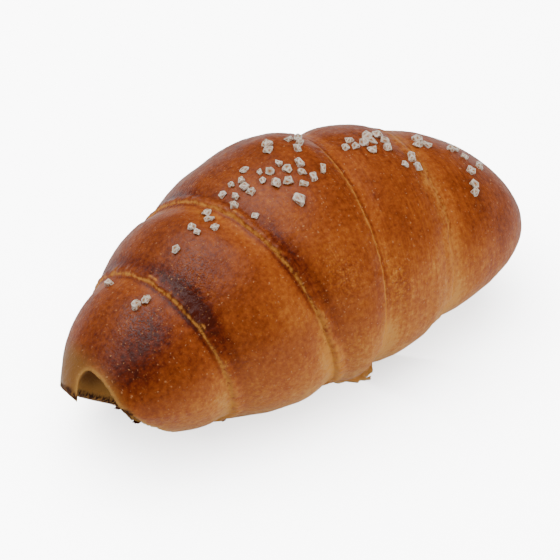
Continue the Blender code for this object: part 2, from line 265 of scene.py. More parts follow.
# Where the oven browned the crust more (+) or less (-). Each row: x in mm, angle in degrees,
# reach along x in mm, reach round the section in degrees, and what it adds.
bakeSpots = (
    (-54, 52, 7, 24, 0.38),
    (-59, 100, 5.5, 22, 0.22),
    (-45, 68, 5, 24, 0.24),
    (-41, 32, 3.2, 12, 0.15),
    (-43, -4, 7, 16, -0.12),
    (-36.5, 56, 3.6, 26, 0.34),
    (-31, 80, 5, 15, 0.13),
    (-28, 52, 6, 22, 0.07),
    (-13.4, 48, 2.6, 18, 0.24),
    (-18, 34, 4, 14, -0.16),
    (-20, 92, 5, 25, -0.1),
    (-9, 84, 6, 26, -0.14),
    (-4, 42, 7, 16, -0.12),
    (2, 2, 8, 12, -0.1),
    (22.5, 24, 8, 22, -0.18),
    (46, 38, 9, 24, 0.05),
    (28, 2, 7, 16, -0.1),
    (4, 140, 14, 24, 0.1),
)
# patches of thicker, wrinkled glaze, in the same rows
glazeSpots = (
    (-47, 78, 4.5, 14, 1),
    (-32, 74, 4, 12, 0.8),
    (-3, 37, 3.6, 9, 1),
    (11.2, 23, 2.8, 10, 0.8),
    (-22, 128, 7, 12, 0.7),
    (24, 136, 8, 12, 0.7),
)
bakingAndShade = {
    "foot": 0.01,  # browning at the table
    "crest": 0.6,  # added up to the crest
    "rise": 0.92,  # share of the height where it is full
    "dipShade": 0.22,  # painted shade: the valley beside a raised lip is darker
    "cove": -0.16,  # a sheltered lower edge less
    "creaseShade": 0.22,  # painted shade: the crease itself is darkest
    "endPale": -0.08,
    "tip": -0.3,  # the left tip stays golden
    "tipSpan": (58.0, 62.0),  # distances from the middle in mm, as in the next two
    "endSpan": (52.0, 62.0),
    "tanSpan": (56.5, 60.5),  # the left tip turns a dull tan here
    "tanHeight": (33.0 * mm, 27.0 * mm),  # and below here
    "lowestCrest": 0.35,  # share of the roll's height
    "rim": -0.3,  # the rim of the hollow stays golden too
    "rimReach": 1.6 * mm,
}


def ringShares(count, wrap, lastWrap):
    t = np.arange(count) / count
    if wrap == 0:
        t = t ** crustMesh["poleCrowding"]
    elif wrap == lastWrap:
        t = 1.0 - (1.0 - t) ** crustMesh["poleCrowding"]
    return t - crustMesh["crowding"] * np.sin(2.0 * np.pi * t)


def crustGrid():
    first, last = crustMesh["topSpan"]
    top = np.linspace(first, last, crustMesh["topSectors"], endpoint=False)
    under = np.linspace(last, first + 360.0, crustMesh["underSectors"], endpoint=False)
    angles = np.concatenate([top, under])
    lines = wrapLines(angles)
    rows, wraps, shares = [], [], []
    lastWrap = len(crustMesh["rings"]) - 1
    for wrap, count in enumerate(crustMesh["rings"]):
        for share in ringShares(count, wrap, lastWrap):
            rows.append(lines[wrap] + (lines[wrap + 1] - lines[wrap]) * share)
            wraps.append(wrap)
            shares.append(share)
    x = np.array(rows[1:])
    return x, np.broadcast_to(angles, x.shape), np.array(wraps[1:]), np.array(shares[1:])


def seamMasks(seam, fromSeam, angle, coarse, fine, torn):
    # the pale unglazed edge, the band beside it that browns less, and painted shade in the valley and crease
    # beside it
    raised = seam["side"] > 0
    low = smooth(*wear["lowAngles"], angle)
    coarseMix, tornMix = wear["widthMix"]
    uneven = np.clip(1.0 + coarseMix * coarse + (tornMix + seam["fray"]) * torn, *wear["widthLimits"])
    width = (seam["paleWidth"] + seam["lowEnd"] * low) * mm * uneven
    middle = wear["edgeMiddle"] * mm - wear["edgeMiddle"] * low * seam["lowEnd"] * mm
    here = smooth(*wear["threadStart"], coarse + wear["threadTorn"] * torn)
    thread = bell(fromSeam, *wear["threadBand"]) * here * raised
    constant, fineMix, tornMix = wear["gapMix"]
    gaps = np.clip(constant + fineMix * fine + tornMix * torn, 0.0, 1.0)
    edge = np.maximum(bell(fromSeam, middle, width), wear["threadPale"] * thread) * gaps
    back = smooth(*wear["backAngles"], angle)
    return {
        "seam": seam["pale"] * edge,
        "dipShade": bell(fromSeam, *wear["dipBand"]) * raised * (1.0 - wear["lowDip"] * low),
        "cove": bell(fromSeam, *wear["coveBand"]) * (1.0 + wear["backCove"] * back),
        "creaseShade": bell(fromSeam, *wear["creaseBand"]) * (1.0 - low),
    }


def fineCrust(x, angle, wraps, shares):
    lines = wrapLines(angle)
    body = bodyPoints(x, angle)
    along = np.stack(np.broadcast_arrays(angle * crustMesh["doughScale"], 0.0, 0.0), -1)
    relief = np.zeros_like(x)
    lean = np.zeros_like(x)
    masks = {name: np.zeros_like(x) for name in ("seam", "dipShade", "cove", "creaseShade")}
    torn = noiseAt(body, wear["tornSize"], 5.0)
    coarseFray, fineFray = wear["frayMix"]
    for number, seam in enumerate(seams):
        place = along + np.array([0.0, (number + 1) * wear["apart"] * mm, 0.0])
        coarse = noiseAt(place, wear["coarseSize"])
        fine = noiseAt(place, wear["fineSize"], 7.3)
        wander = (seam["wander"] * coarse + wear["fineWander"] * seam["wander"] * fine) * mm
        fray = 1.0 + seam["fray"] * (coarseFray * coarse + fineFray * fine)
        fray = np.clip(fray, *wear["frayLimits"])
        add, fromSeam = seamRelief(seam, lines, number, x, wander, fray)
        relief += add
        lean -= seam["side"] * seamFit["overhang"] * seam["lip"] * bell(fromSeam, *wear["leanBand"])
        for name, values in seamMasks(seam, fromSeam, angle, coarse, fine, torn).items():
            masks[name] = np.maximum(masks[name], values)
    wrapLength, wrapsApart = crustMesh["wrapSpan"]
    dough = np.stack(np.broadcast_arrays(shares[:, None] * wrapLength * mm, angle * crustMesh["doughScale"],
                                         wraps[:, None] * wrapsApart * mm), -1)
    for size, height in crustMesh["dents"]:
        relief += height * noiseAt(body, size, 3.1)
    width, length, height = crustMesh["stretch"]
    pulls = noiseAt(dough / np.array([width, length, 1.0]), 1.0)
    masks["stretch"] = np.broadcast_to(smooth(*crustMesh["stretchWraps"], wraps[:, None] + 0.5), x.shape)
    relief += height * pulls * masks["stretch"]
    points = lumpyOffset(x, angle, body, relief)
    points[..., 0] += lean * smooth(0.0, roll["footFade"], points[..., 2])
    masks["dough"] = dough
    masks["bakeAndShade"] = browning(x, angle, body, masks)
    masks["glaze"] = spotSum(glazeSpots, x, angle)
    low, high = bakingAndShade["tanHeight"]
    masks["tan"] = smooth(*bakingAndShade["tanSpan"], -x / mm) * smooth(low, high, body[..., 2])
    return points, masks


def spotSum(spots, x, angle):
    total = np.zeros_like(x)
    for spotX, spotAngle, reachX, reachAngle, add in spots:
        total += add * bell(x / mm, spotX, reachX) * bell(angle, spotAngle, reachAngle)
    return total


def browning(x, angle, body, masks):
    crestHere = bodyPoints(x, np.full_like(x, 90.0))[..., 2]
    crestHere = np.maximum(crestHere, bakingAndShade["lowestCrest"] * roll["height"])
    bakeAndShade = bakingAndShade["foot"] + bakingAndShade["crest"] * smooth(0.0, bakingAndShade["rise"], body[..., 2] / crestHere)
    bakeAndShade = bakeAndShade + spotSum(bakeSpots, x, angle)
    # the dip and crease bands add painted shade beside the seams; the cove band browns less
    for name in ("dipShade", "cove", "creaseShade"):
        bakeAndShade = bakeAndShade + bakingAndShade[name] * masks[name]
    bakeAndShade = bakeAndShade + bakingAndShade["tip"] * smooth(*bakingAndShade["tipSpan"], -x / mm)
    return bakeAndShade + bakingAndShade["endPale"] * smooth(*bakingAndShade["endSpan"], np.abs(x) / mm)


def gridMesh(name, points, tips):
    # rings of a closed skin, with one vertex at each tip
    rings, sectors = points.shape[:2]
    verts = points.reshape(-1, 3).tolist() + [tuple(t) for t in tips]
    firstTip, lastTip = rings * sectors, rings * sectors + 1
    step = np.roll(np.arange(sectors), -1)
    faces = []
    for ring in range(rings - 1):
        a, b = ring * sectors, (ring + 1) * sectors
        faces += [(a + i, a + j, b + j, b + i) for i, j in enumerate(step.tolist())]
    faces += [(firstTip, j, i) for i, j in enumerate(step.tolist())]
    last = (rings - 1) * sectors
    faces += [(lastTip, last + i, last + j) for i, j in enumerate(step.tolist())]
    mesh = bpy.data.meshes.new(name)
    mesh.from_pydata(verts, [], faces)
    mesh.validate()
    return mesh


def newPiece(name, data):
    piece = bpy.data.objects.new(name, data)
    bpy.context.scene.collection.objects.link(piece)
    return piece


def outFaces(mesh):
    bm = bmesh.new()
    bm.from_mesh(mesh)
    bmesh.ops.recalc_face_normals(bm, faces=bm.faces)
    bm.to_mesh(mesh)
    bm.free()


def setMask(mesh, name, values):
    kind = "FLOAT_VECTOR" if np.ndim(values) == 2 else "FLOAT"
    layer = mesh.attributes.new(name, kind, "POINT")
    field = "vector" if kind == "FLOAT_VECTOR" else "value"
    layer.data.foreach_set(field, np.ascontiguousarray(values, np.float32).ravel())


def meshOf(bm, name):
    mesh = bpy.data.meshes.new(name)
    bm.to_mesh(mesh)
    bm.free()
    return mesh


def treeOf(points):
    tree = KDTree(len(points))
    for i, point in enumerate(points):
        tree.insert(point, i)
    tree.balance()
    return tree


# hollow in the left end
hollow = {
    "centre": (-52.8 * mm, -16.3 * mm, 3.3 * mm),
    "depth": 13.7 * mm,
    "draw": 30.0 * mm,
    "side": 8.5 * mm,
    "rise": 27.1 * mm,
    "yaw": 50.0,
    "roll": -24.1,
    "segments": (120, 80),
    "wrinkles": ((7.0 * mm, 0.7 * mm), (2.5 * mm, 0.22 * mm)),
    "rimReach": 1.1 * mm,  # rounded this far from the rim
    "rimRounds": 10,
    "rimPale": (0.9 * mm, 0.55),  # reach and strength of the wall's colour on the rim
    "rimSoft": (0.7 * mm, 0.6),  # and of the crust's colour inside it
    # painted shade darkens the wall towards the top of the hollow and away from its rim
    "shadeHeight": (9.0 * mm, 22.0 * mm),
    "shadePast": (0.5 * mm, 5.0 * mm),  # distance from the rim
}


def hollowTurn():
    turn = Matrix.Rotation(math.radians(hollow["yaw"]), 4, "Z")
    return Matrix.Translation(hollow["centre"]) @ turn @ Matrix.Rotation(math.radians(hollow["roll"]), 4, "X")


def hollowCutter():
    bm = bmesh.new()
    around, down = hollow["segments"]
    bmesh.ops.create_uvsphere(bm, u_segments=around, v_segments=down, radius=1.0)
    for vert in bm.verts:
        way = vert.co.normalized()
        length = hollow["depth"] if vert.co.x > 0.0 else hollow["draw"]
        vert.co = Vector((vert.co.x * length, vert.co.y * hollow["side"], vert.co.z * hollow["rise"]))
        for size, height in hollow["wrinkles"]:
            vert.co += way * height * noise.noise(vert.co / size)
    bmesh.ops.transform(bm, matrix=hollowTurn(), verts=bm.verts)
    for face in bm.faces:
        face.material_index = 1
    cutter = newPiece("hollowCutter", meshOf(bm, "hollowCutter"))
    for name in ("skin", "wall"):
        cutter.data.materials.append(bpy.data.materials.new(name))
    return cutter


def carveHollow(piece):
    # cuts the hollow and returns, for each vertex, how far it is inside the wall and its way to the rim
    cutter = hollowCutter()
    for slotMaterial in cutter.data.materials:
        piece.data.materials.append(slotMaterial)
    cut = piece.modifiers.new("cut", "BOOLEAN")
    cut.operation = "DIFFERENCE"
    cut.solver = "MANIFOLD"
    cut.object = cutter
    bpy.context.view_layer.update()
    done = bpy.data.meshes.new_from_object(piece.evaluated_get(bpy.context.evaluated_depsgraph_get()))
    piece.modifiers.remove(cut)
    piece.data = done
    bpy.data.objects.remove(cutter, do_unlink=True)
    bm = bmesh.new()
    bm.from_mesh(done)
    bm.verts.ensure_lookup_table()
    wall = np.zeros(len(bm.verts))
    rim = []
    for vert in bm.verts:
        sides = {face.material_index for face in vert.link_faces}
        wall[vert.index] = 1.0 if sides == {1} else 0.0
        if len(sides) == 2:
            rim.append(vert.index)
            wall[vert.index] = 0.5
    tree = treeOf([bm.verts[i].co for i in rim])
    toRim = np.array([tree.find(vert.co)[2] for vert in bm.verts])
    near = [bm.verts[i] for i in np.nonzero(toRim < hollow["rimReach"])[0].tolist()]
    for _ in range(hollow["rimRounds"]):
        bmesh.ops.smooth_vert(bm, verts=near, factor=0.5, use_axis_x=True, use_axis_y=True, use_axis_z=True)
    for face in bm.faces:
        face.material_index = 0
    bm.to_mesh(done)
    bm.free()
    done.materials.clear()
    return wall, toRim


# salt
salt = {
    "seed": 11,
    "spacing": 0.8,  # smallest distance between two grains, in grain sizes
    "tries": 40,
    "sizes": (0.85, 1.12),
    "length": (0.85, 1.1),
    "width": (0.8, 1.0),
    "height": (0.6, 0.8),
    "raised": 0.12,  # how far a grain's middle stands over the crust, in grain sizes
    "corners": 20,  # random points whose hull is one crystal
    "roughness": (0.78, 1.14),
    "bevel": 0.06 * mm,
    "mergeAngle": 22.0,  # faces flatter to each other than this become one
    "sharpAngle": 30.0,
    "grainShadow": 0.55 * mm,  # reach of the painted shadow round a grain
    "grainShadowStart": 0.42,  # where it starts, in grain sizes
    "seeThroughArea": (0.28 * mm) ** 2, # faces larger than this get the crust's colour painted in the middle, as if seen through the crystal
}

# x and angle of each group, count, spread along x and round the section, grain size; in mm and degrees
saltGroups = (
    (-45.6, 85, 1, 0, 0, 3.1),
    (-43.2, 83, 1, 0, 0, 2.7),
    (-44.8, 122, 1, 0, 0, 3.2),
    (-31.9, 90, 1, 0, 0, 2.6),
    (-25.7, 88, 2, 0.5, 8, 2.6),
    (-21.7, 89, 3, 1.2, 8, 2.6),
    (-14.5, 94, 4, 2.4, 6, 2.6),
    (-13.5, 78, 1, 0, 0, 2.2),
    (-8.5, 95, 6, 2.8, 8, 2.5),
    (-3.6, 87, 8, 2.8, 7, 2.9),
    (0.6, 83, 5, 2.4, 6, 2.7),
    (-3.6, 72, 1, 0, 0, 3.6),
    (6.1, 80, 1, 0, 0, 2.6),
    (0.2, 102, 2, 1, 4, 3.4),
    (6.6, 100, 4, 1.8, 7, 2.8),
    (19, 92, 3, 1.6, 4, 2.7),
    (22.5, 88, 2, 0.8, 4, 2.9),
    (26.5, 90, 7, 2.4, 7, 3.3),
    (31, 75, 2, 0.8, 4, 3.6),
    (27.5, 73, 1, 0, 0, 2.3),
    (38.5, 92, 4, 1.8, 5, 3),
    (46.5, 84, 3, 1.6, 5, 2.9),
    (50, 72, 1, 0, 0, 3.2),
    (46, 66, 2, 1, 4, 3.1),
    (42.5, 54, 2, 0.8, 4, 2.8),
)


def crustAt(x, angle):
    return Vector(plainCrust(x, angle).tolist())


def inwardNormal(x, angle):
    along = crustAt(x + 0.4 * mm, angle) - crustAt(x - 0.4 * mm, angle)
    around = crustAt(x, angle + 1.0) - crustAt(x, angle - 1.0)
    return around.cross(along).normalized()


def saltPlaces():
    draw = random.Random(salt["seed"])
    places = []
    for x, angle, count, spread, turn, size in saltGroups:
        for _ in range(count):
            for _ in range(salt["tries"]):
                placeX = x * mm + draw.uniform(-spread * mm, spread * mm)
                placeAngle = angle + draw.uniform(-turn, turn)
                grain = size * mm * draw.uniform(*salt["sizes"])
                here = crustAt(placeX, placeAngle)
                if all((here - other).length - salt["spacing"] * (grain + otherSize) / 2.0 > 0.0
                       for other, _, _, otherSize in places):
                    places.append((here, placeX, placeAngle, grain))
                    break
    return places


def saltGrains(places):
    # rough crystals, each the hull of random points on a flattened ball
    draw = random.Random(salt["seed"] + 1)
    whole = bmesh.new()
    clear = []
    for here, x, angle, size in places:
        bm = bmesh.new()
        stretch = [draw.uniform(*salt[key]) * size / 2.0 for key in ("length", "width", "height")]
        for _ in range(salt["corners"]):
            way = Vector([draw.gauss(0.0, 1.0) for _ in range(3)]).normalized()
            way = way * draw.uniform(*salt["roughness"])
            bm.verts.new(Vector([a * b for a, b in zip(way, stretch)]))
        bmesh.ops.convex_hull(bm, input=bm.verts)
        bmesh.ops.delete(bm, geom=[v for v in bm.verts if not v.link_faces], context="VERTS")
        merge = math.radians(salt["mergeAngle"])
        bmesh.ops.dissolve_limit(bm, angle_limit=merge, verts=bm.verts, edges=bm.edges)
        bmesh.ops.bevel(bm, geom=bm.edges, offset=salt["bevel"], segments=2, affect="EDGES", profile=0.6)
        # the middles of broad faces get a painted see-through colour
        broad = [face for face in bm.faces if face.calc_area() > salt["seeThroughArea"]]
        middles = set(bmesh.ops.poke(bm, faces=broad)["verts"])
        clear += [vert in middles for vert in bm.verts]
        inward = inwardNormal(x, angle)
        turn = inward.to_track_quat("Z", "Y").to_matrix().to_4x4()
        turn = turn @ Matrix.Rotation(draw.uniform(0.0, math.tau), 4, "Z")
        matrix = Matrix.Translation(here - inward * salt["raised"] * size) @ turn
        bmesh.ops.transform(bm, matrix=matrix, verts=bm.verts)
        mesh = meshOf(bm, "grain")
        whole.from_mesh(mesh)
        bpy.data.meshes.remove(mesh)
    mesh = meshOf(whole, "salt_grains")
    setMask(mesh, "clear", np.array(clear, float))
    return mesh


# crisp butter skirt and burnt crumbs at the foot
skirt = {
    "span": (-1.6 * mm, 12.8 * mm),
    "inner": -15.5 * mm,
    "outer": -23.9 * mm,
    "ragged": 2.0 * mm,
    "raggedSize": 2.6 * mm,
    "raggedMore": (0.25, 2.7),  # share and fineness of a second noise on the edge
    "roundEnds": 0.35,
    "steps": (84, 40),
    "lift": 0.12 * mm,
    "thickness": 0.55 * mm,
    "ruffle": 0.5 * mm,
    "ruffleSize": 1.6 * mm,
    "sag": 0.3,  # the outer edge lies lower by this share
    "holes": 0.5,  # noise above this leaves a hole
    "holeSize": 1.3 * mm,
    "wholeShare": 0.45,  # no holes in this share next to the roll
    "seed": 4.7,
}
crumbs = {
    "seed": 8,
    # x, y and count of each little group at the foot, in millimetres
    "groups": ((-54.6, 13.0, 5), (-52.0, 8.5, 4), (-48.6, 4.4, 5), (-46.6, -4.6, 4), (-44.6, -8.8, 6),
               (-40.6, -11.6, 5), (-35.0, -13.8, 5), (-32.4, -16.4, 4), (-10.0, -20.6, 2)),
    "spread": 1.7,
    "size": (0.35 * mm, 0.8 * mm),
    "stretch": ((0.9, 1.9), (0.5, 0.9), (0.3, 0.6)),  # length, width and height, in sizes
    "lumpy": (0.45, 1.7),  # height and fineness of the lumps
    "tilt": 0.5,
    "rest": 0.3,  # height of the middle, in sizes
    "foot": (0.05 * mm, 0.9 * mm),  # heights of crust that a crumb may cling to
}


def skirtMesh():
    nx, ny = skirt["steps"]
    start, end = skirt["span"]
    share, fineness = skirt["raggedMore"]
    ruffleSize, holeSize = skirt["ruffleSize"], skirt["holeSize"]
    verts, keep = [], []
    for i in range(nx + 1):
        u = i / nx
        x = start + (end - start) * u
        ends = math.sin(math.pi * u) ** skirt["roundEnds"]
        edge = skirt["ragged"] * noise.noise((x / skirt["raggedSize"], skirt["seed"], 0.0))
        edge += share * skirt["ragged"] * noise.noise((x / skirt["raggedSize"] * fineness, skirt["seed"], 4.0))
        outer = skirt["inner"] + (skirt["outer"] - skirt["inner"]) * ends + edge * ends
        for j in range(ny + 1):
            v = j / ny
            y = skirt["inner"] + (outer - skirt["inner"]) * v
            lift = skirt["ruffle"] * (0.5 + 0.5 * noise.noise((x / ruffleSize, y / ruffleSize, 1.0)))
            verts.append(Vector((x, y, skirt["lift"] + lift * (1.0 - skirt["sag"] * v))))
            hole = noise.noise((x / holeSize, y / holeSize, 9.0))
            keep.append(hole < skirt["holes"] or v < skirt["wholeShare"])
    bm = bmesh.new()
    rows = [bm.verts.new(v) for v in verts]
    for i in range(nx):
        for j in range(ny):
            here, beside = i * (ny + 1) + j, (i + 1) * (ny + 1) + j
            corner = [here, beside, beside + 1, here + 1]
            if all(keep[c] for c in corner):
                bm.faces.new([rows[c] for c in corner])
    bmesh.ops.delete(bm, geom=[v for v in bm.verts if not v.link_faces], context="VERTS")
    bm.normal_update()
    bmesh.ops.reverse_faces(bm, faces=[face for face in bm.faces if face.normal.z < 0.0])
    return meshOf(bm, "butter_skirt")


def crumbMesh(crust):
    # each crumb lies on the table under the nearest bit of the crust's foot
    lowest, highest = crumbs["foot"]
    feet = [v.co.copy() for v in crust.data.vertices if lowest < v.co.z < highest]
    tree = treeOf([(foot.x, foot.y, 0.0) for foot in feet])
    bump, fineness = crumbs["lumpy"]
    draw = random.Random(crumbs["seed"])
    whole = bmesh.new()
    for x, y, count in crumbs["groups"]:
        for _ in range(count):
            placeX = (x + draw.uniform(-1.0, 1.0) * crumbs["spread"]) * mm + roll["shift"][0]
            placeY = (y + draw.uniform(-1.0, 1.0) * crumbs["spread"]) * mm + roll["shift"][1]
            size = draw.uniform(*crumbs["size"])
            here = feet[tree.find((placeX, placeY, 0.0))[1]].copy()
            here.z = crumbs["rest"] * size
            turn = Matrix.Rotation(draw.uniform(0.0, math.tau), 4, "Z")
            turn = turn @ Matrix.Rotation(draw.uniform(-crumbs["tilt"], crumbs["tilt"]), 4, "X")
            made = bmesh.ops.create_icosphere(whole, subdivisions=2, radius=1.0)["verts"]
            stretch = Vector([draw.uniform(*limits) for limits in crumbs["stretch"]]) * size
            for vert in made:
                vert.co *= 1.0 + bump * noise.noise(vert.co * fineness + Vector((x, y, size / mm)))
                vert.co = turn @ Vector([a * b for a, b in zip(vert.co, stretch)])
                vert.co += here
                vert.co.z = max(vert.co.z, 0.0)
    return meshOf(whole, "burnt_crumbs")


# node helpers
def feed(tree, node, inputs):
    # links what is a socket and sets the rest as plain values
    for name, value in inputs.items():
        if isinstance(value, bpy.types.NodeSocket):
            tree.links.new(value, node.inputs[name])
        else:
            node.inputs[name].default_value = value


def addNode(tree, kind, inputs=None, **settings):
    node = tree.nodes.new("ShaderNode" + kind)
    for name, value in settings.items():
        setattr(node, name, value)
    feed(tree, node, inputs or {})
    return node


def calc(tree, operation, *values):
    return addNode(tree, "Math", dict(enumerate(values)), operation=operation).outputs[0]


def times(tree, first, second):
    return calc(tree, "MULTIPLY", first, second)


def addTimes(tree, first, second, added):
    return calc(tree, "MULTIPLY_ADD", first, second, added)


def centred(tree, value):
    return calc(tree, "SUBTRACT", value, 0.5)


def blend(tree, factor, first, second):
    return addNode(tree, "Mix", {0: factor, 6: first, 7: second}, data_type="RGBA").outputs[2]


def clouds(tree, vector, scale, detail, **more):
    return addNode(tree, "TexNoise", {"Vector": vector, "Scale": scale, "Detail": detail, **more}).outputs[0]


def remap(tree, value, low, high, toLow=0.0, toHigh=1.0):
    return addNode(tree, "MapRange", {0: value, 1: low, 2: high, 3: toLow, 4: toHigh}).outputs[0]


def ramp(tree, value, stops):
    node = addNode(tree, "ValToRGB", {0: value})
    elements = node.color_ramp.elements
    while len(elements) < len(stops):
        elements.new(0.5)
    for element, (place, colour) in zip(elements, stops):
        element.position = place
        element.color = (*colour, 1.0)
    return node.outputs[0]


def newGroup(name, output, kindOut, inputs):
    # an input without a value is a vector
    tree = bpy.data.node_groups.new(name, "ShaderNodeTree")
    for label, value in inputs.items():
        kind = "NodeSocketVector" if value is None else "NodeSocketFloat"
        socket = tree.interface.new_socket(label, in_out="INPUT", socket_type=kind)
        if value is not None:
            socket.default_value = value
    tree.interface.new_socket(output, in_out="OUTPUT", socket_type="NodeSocket" + kindOut)
    return tree, tree.nodes.new("NodeGroupInput").outputs, tree.nodes.new("NodeGroupOutput").inputs


def useGroup(tree, group, inputs):
    return addNode(tree, "Group", inputs, node_tree=group).outputs[0]


# shared effects
# browning from raw dough to nearly burnt
bakedColours = [
    (0.0, (0.58, 0.25, 0.05)),
    (0.16, (0.47, 0.15, 0.022)),
    (0.34, (0.36, 0.092, 0.014)),
    (0.52, (0.27, 0.056, 0.008)),
    (0.7, (0.185, 0.033, 0.0045)),
    (0.86, (0.115, 0.014, 0.002)),
    (1.0, (0.055, 0.006, 0.0012)),
]


def makeBrowning():
    tree, given, put = newGroup("browning", "Color", "Color", {
        "Bake": 0.5, "Patchiness": 0.2, "Patch Size": 90.0, "Mottle": 0.1, "Mottle Size": 420.0, "Vector": None,
    })
    level = given["Bake"]
    for amount, size, detail in (("Patchiness", "Patch Size", 3.0), ("Mottle", "Mottle Size", 4.0)):
        source = clouds(tree, given["Vector"], given[size], detail)
        level = addTimes(tree, centred(tree, source), times(tree, given[amount], 2.0), level)
    tree.links.new(ramp(tree, level, bakedColours), put[0])
    return tree


def makeStreaks():
    # stretch lines that follow the dough round the roll
    tree, given, put = newGroup("doughStreaks", "Mask", "Float", {
        "Dough": None, "Width": 900.0, "Length": 60.0,
    })
    scale = addNode(tree, "CombineXYZ", {0: given["Width"], 1: given["Length"], 2: 100.0})
    stretched = addNode(tree, "VectorMath", {0: given["Dough"], 1: scale.outputs[0]}, operation="MULTIPLY")
    tree.links.new(clouds(tree, stretched.outputs[0], 1.0, 3.0, Roughness=0.6), put[0])
    return tree


def makeBlisters():
    # pinhead bubbles in the crust, no two alike
    tree, given, put = newGroup("blisters", "Mask", "Float", {
        "Vector": None, "Scale": 420.0, "Amount": 0.5,
    })
    wobble = addNode(tree, "TexNoise", {"Vector": given["Vector"], "Scale": 1500.0, "Detail": 2.0})
    push = addNode(tree, "VectorMath", {0: wobble.outputs["Color"], 1: (0.5, 0.5, 0.5)}, operation="SUBTRACT")
    push = addNode(tree, "VectorMath", {0: push.outputs[0], 3: 1.0 * mm}, operation="SCALE")
    moved = addNode(tree, "VectorMath", {0: given["Vector"], 1: push.outputs[0]}, operation="ADD")
    cells = addNode(tree, "TexVoronoi", {"Vector": moved.outputs[0], "Scale": given["Scale"]})
    pick = addNode(tree, "SeparateColor", {0: cells.outputs["Color"]})
    size = remap(tree, pick.outputs[1], 0.0, 1.0, 0.08, 0.32)
    dot = remap(tree, calc(tree, "DIVIDE", cells.outputs["Distance"], size), 0.35, 1.0, 1.0, 0.0)
    chosen = calc(tree, "LESS_THAN", pick.outputs[0], given["Amount"])
    tree.links.new(times(tree, dot, chosen), put[0])
    return tree


def makeCrinkle():
    # fine puckers that break up the gloss
    tree, given, put = newGroup("crinkle", "Height", "Float", {
        "Vector": None, "Scale": 700.0, "Sharpness": 0.5,
    })
    vector, scale = given["Vector"], given["Scale"]
    bent = clouds(tree, vector, scale, 2.0, Distortion=0.6)
    cells = addNode(tree, "TexVoronoi", {"Vector": vector, "Scale": scale}, feature="SMOOTH_F1")
    mixed = addNode(tree, "Mix", {0: given["Sharpness"], 2: bent, 3: cells.outputs["Distance"]},
                    data_type="FLOAT")
    tree.links.new(mixed.outputs[0], put[0])
    return tree


browningGroup = makeBrowning()
streakGroup = makeStreaks()
blisterGroup = makeBlisters()
crinkleGroup = makeCrinkle()


# materials
def newMaterial(name):
    made = bpy.data.materials.new(name)
    made.use_nodes = True
    return made, made.node_tree, made.node_tree.nodes["Principled BSDF"]


def mask(tree, name):
    return addNode(tree, "Attribute", attribute_name=name).outputs["Fac"]


def bumped(tree, height, strength, distance):
    return addNode(tree, "Bump", {"Strength": strength, "Distance": distance, "Height": height}).outputs[0]


crustLook = {
    "roughness": 0.42,
    "roughnessSpread": 0.16,
    "bareRoughness": 0.35,  # added where there is no glaze
    "glazeRoughness": -0.1,  # added on the patches of thicker glaze
    "specular": 0.15,
    "coat": 0.12,
    "coatFrom": (0.36, 0.58),  # the coat sets in between these heights of the puckers
    "glazeCoat": 1.6,  # it grows by this share on the patches of thicker glaze
    "glazeWrinkles": 2.5,  # and so do the puckers
    "coatRoughness": 0.24,
    "patches": (0.17, 110.0),  # strength and scale, as in the next five
    "mottle": (0.32, 900.0),
    "blisters": (0.58, 1100.0),
    "specks": (0.45, 1900.0),
    "fine": (0.75, 2100.0),
    "coarse": (0.9, 520.0),
    "torn": 1300.0,
    "blisterShare": 0.55,
    "speckShare": 0.5,
    "threadShape": (2200.0, 130.0),
    "pulled": (0.12, 0.26),  # strength of the stretch lines everywhere, and added where they are strong
    "wrinkled": (0.3, 0.8),  # and of the puckers' browning, and added on thicker glaze
    "tan": 0.85,
    # strength of the painted shadow round the salt grains
    "grainShadow": 0.75,
    "seamColour": (0.62, 0.255, 0.048, 1.0),
    "tanColour": (0.2, 0.092, 0.02, 1.0),
    "speckColour": (0.46, 0.185, 0.05, 1.0),
    # painted shadow round the salt grains
    "grainShadowColour": (0.2, 0.036, 0.004, 1.0),
    "blisterColour": (0.55, 0.25, 0.1, 1.0),
    "soleColour": (0.05, 0.014, 0.005, 1.0),
    # painted shade deep in the hollow, blended over the wall's own colour
    "wallShadeDark": (0.15, 0.055, 0.009, 1.0),
    "wallPale": (0.52, 0.27, 0.07, 1.0),
    "bump": 0.9,
    "bumpHeight": 0.17 * mm,
    "streakBump": 0.35,
    "blisterBump": 0.4,
}


